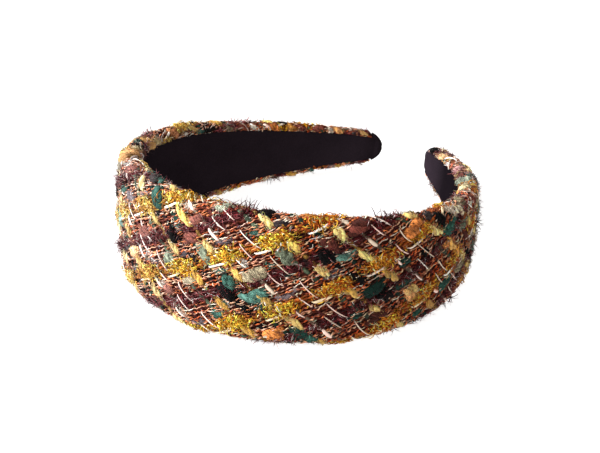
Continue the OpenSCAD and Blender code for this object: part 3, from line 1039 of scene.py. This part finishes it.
chance = np.random.default_rng(7)
yarns, s, c, length, width, in_row = zip(*CHARTED, *ordered_slubs(chance))
length, width = np.array(length) * LONGER, np.array(width) * SLIMMER
heading = np.where(np.array(in_row) == 1, ROW_SLOPE, -PICK_SLOPE)
heading = heading + chance.uniform(-0.12, 0.12, len(yarns))
wool = np.array([dyed(WOOL[yarn].split()[chance.integers(3)]) for yarn in yarns])
lumps = np.array([s, c, heading, length, width])
material = yarn_finish(
    "wool_slubs", grain=1.0, fade=0.15, contrast=5.5, relief=0.9,
    dark="665c64", girth=4.0, streaks=0.8, curled=True,
    Roughness=0.95, Specular_IOR_Level=0.05, Sheen_Weight=0.03, Sheen_Roughness=0.5,
)
wound(
    "wool_slubs", material, lumps, wool, chance,
    sides=7, flat=0.44, sink=0.3, turns=0.6, splay=0.35,
)
fuzz(
    "wool_fuzz", material, lumps, wool, chance,
    each=27, flat=0.45, along=0.5, thick=(0.05, 0.11),
)
crossed("crossing_ends", lumps, chance, each=8)

# The mustard picks. A soft chenille comes over a few rows at a time, twice in each repeat of the
# picks, and dives under the cloth at both ends.
MUSTARD_LENGTH, MUSTARD_WIDTH = 6.2, 2.2
# q and p of a tuft on each pick
MUSTARD_PICKS = ((0.5, 6.6), (11.6, 4.1))

material = yarn_finish(
    "mustard_chenille", grain=1.1, fade=0.0, contrast=2.0, relief=0.5,
    dark="7a5420", twist=0.2, girth=3.0, Roughness=0.9, Sheen_Weight=0.2, Sheen_Roughness=0.5,
)
chance = np.random.default_rng(8)
found = [crossings(row, TUFT_REPEAT, pick, PICK_REPEAT) for pick, row in MUSTARD_PICKS]
s, c = np.concatenate(found, axis=1)
count = len(s)
length = MUSTARD_LENGTH * chance.uniform(0.85, 1.15, count)
width = MUSTARD_WIDTH * chance.uniform(0.85, 1.15, count)
heading = -PICK_SLOPE + chance.uniform(-0.15, 0.15, count)
mustard = toned(chance, count, "dcb45c cc9e44 e8c87c", spread=0.15)
lumps = np.array([s, c, heading, length, width])
wound(
    "mustard_tufts", material, lumps, mustard, chance,
    sides=6, flat=0.55, sink=0.1, turns=0.7, splay=0.12,
)
fuzz(
    "mustard_fuzz", material, lumps, mustard, chance,
    each=36, flat=0.5, along=0.3, thick=(0.05, 0.1),
)
lumps = np.array([s, c, heading, length * 0.8, width])
crossed("mustard_crossings", lumps, chance, each=5)

# The pale picks and the tapes. Thin waxy threads cross five or six rows, one pick in each repeat
# is a flat sage or cream tape, and a white tape comes up in the row under each gold end.
THREAD_WIDTH = 0.4
# q, p and length of a thread on each pick
THREAD_PICKS = ((19.5, 10.0, 7.4), (23.3, 2.8, 9.6))
TAPE_PICK, TAPE_PICK_ROW, TAPE_PICK_LENGTH = 15.7, 7.2, 4.8
TAPE_ROW, TAPE_FACES, TAPE_LENGTH = -1.8, (9.4, 23.5), 7.0
FLOAT_RINGS = 11


def floats(name, material, lumps, dyes, chance, height, lift, sides, bend):
    """Threads that come up out of the cloth, lie on it and go down again."""
    s, c, heading, length, width = lumps[..., None]
    u = np.linspace(-1, 1, FLOAT_RINGS)
    aside = chance.uniform(*bend, s.shape) * length * (1 - u**2)
    s, c = moved(s, c, heading, length / 2 * u, aside)
    rise = np.broadcast_to(lift - 1.3 * np.abs(u) ** 8, s.shape)
    point, up = lay_cloth(s.ravel(), c.ravel(), rise.ravel())
    run = np.repeat(np.arange(len(s)), FLOAT_RINGS)
    wide = (width / 2 * (1 - 0.6 * np.abs(u) ** 3)).ravel()
    dye = np.repeat(dyes, FLOAT_RINGS, axis=0)
    spun(name, material, point, up, run, wide, np.minimum(height / 2, wide), sides, dye)


material = yarn_finish(
    "pale_threads", grain=1.0, fade=-0.2, contrast=1.2, relief=0.1,
    dark="a08070", twist=0.4, Roughness=0.5,
)
chance = np.random.default_rng(9)
groups = []
for pick, row, long in THREAD_PICKS:
    s, c = crossings(row, TUFT_REPEAT, pick, PICK_REPEAT)
    groups.append((s, c, np.full(len(s), long), np.full(len(s), THREAD_WIDTH)))
s, c = crossings(TAPE_PICK_ROW, TUFT_REPEAT, TAPE_PICK, PICK_REPEAT)
width = chance.choice((0.5, 0.8, 1.2), len(s))
groups.append((s, c, np.full(len(s), TAPE_PICK_LENGTH), width))
s, c, length, width = np.concatenate(groups, axis=1)
length = length * chance.uniform(0.85, 1.15, len(s))
heading = -PICK_SLOPE + chance.uniform(-0.12, 0.12, len(s))
pale = toned(chance, len(s), "f0d4c8 f8e6dc e4d4c0", spread=0.12)
lumps = np.array([s, c, heading, length, width])
floats(
    "pale_threads", material, lumps, pale, chance,
    height=0.45, lift=0.6, sides=6, bend=(-0.1, 0.0),
)
groups = [crossings(TAPE_ROW, ROW_REPEAT, face, PICK_REPEAT) for face in TAPE_FACES]
s, c = np.concatenate(groups, axis=1)
length = TAPE_LENGTH * chance.uniform(0.8, 1.25, len(s))
heading = ROW_SLOPE + chance.uniform(-0.1, 0.1, len(s))
cream = toned(chance, len(s), "f2e4d6 faeee4 e8d6b4", spread=0.06)
lumps = np.array([s, c, heading, length, chance.uniform(0.65, 1.05, len(s))])
floats(
    "white_tapes", material, lumps, cream, chance,
    height=0.4, lift=0.75, sides=8, bend=(-0.05, 0.05),
)

# The stand. The band lies on a plain pale floor in soft studio light, and the camera looks at it
# from in front of its crown and a little to the right, a hand's length above it.
IMAGE_WIDTH, FOCAL_PIXELS, SENSOR = 600.0, 983.0, 36.0
AZIMUTH, ELEVATION, ROLL, DISTANCE = 32.84, 27.17, 0.89, 324.5
LOOKED_AT = Vector((12.13, 40.79 + SHIFT[1], 20.62))
FLOOR_SIZE = 40

bpy.ops.object.select_all(action="DESELECT")
bpy.ops.mesh.primitive_plane_add(size=FLOOR_SIZE)
floor = bpy.context.object
floor.name = "floor"
material, wire = new_finish("pale_floor")
glow = {"Emission Color": (1, 1, 1, 1), "Emission Strength": 0.92}
sockets = {"Base Color": (0.3, 0.3, 0.3, 1), "Roughness": 0.9, **glow}
shader = wire.node("ShaderNodeBsdfPrincipled", {}, sockets)
wire.node("ShaderNodeOutputMaterial", {}, {"Surface": shader})
floor.data.materials.append(material)


def direction(azimuth, elevation):
    """The direction from the band at that azimuth, in degrees from -Y, and that elevation."""
    a, e = math.radians(azimuth), math.radians(elevation)
    return Vector((math.sin(a) * math.cos(e), -math.cos(a) * math.cos(e), math.sin(e)))


def softbox(azimuth, elevation, distance, size, power, tint):
    """A square soft light that faces the band."""
    away = direction(azimuth, elevation)
    bpy.ops.object.light_add(type="AREA", location=away * distance)
    light = bpy.context.object
    light.data.size = size
    light.data.energy = power
    light.data.color = tint
    light.rotation_mode = "QUATERNION"
    light.rotation_quaternion = away.to_track_quat("Z", "Y")


back = direction(AZIMUTH, ELEVATION)
bpy.ops.object.camera_add(location=(LOOKED_AT + back * DISTANCE) * MM)
camera = bpy.context.object
camera.rotation_mode = "QUATERNION"
level = back.to_track_quat("Z", "Y").to_matrix()
rolled = Matrix.Rotation(math.radians(ROLL), 3, "Z")
camera.rotation_quaternion = (level @ rolled).to_quaternion()
camera.data.sensor_width = SENSOR
camera.data.lens = FOCAL_PIXELS / IMAGE_WIDTH * SENSOR
camera.data.clip_start = 0.01
bpy.context.scene.camera = camera
softbox(-44, 36, distance=0.9, size=0.5, power=24, tint=(0.96, 0.98, 1.0))
softbox(28, 30, distance=1.0, size=0.4, power=3.0, tint=(1.0, 0.92, 0.84))
softbox(190, 60, distance=1.0, size=0.6, power=2, tint=(1, 1, 1))
world = bpy.data.worlds.new("studio")
world.use_nodes = True
world.node_tree.nodes["Background"].inputs["Color"].default_value = (1, 0.88, 0.75, 1)
world.node_tree.nodes["Background"].inputs["Strength"].default_value = 0.22
bpy.context.scene.world = world
bpy.context.scene.view_settings.view_transform = "Standard"
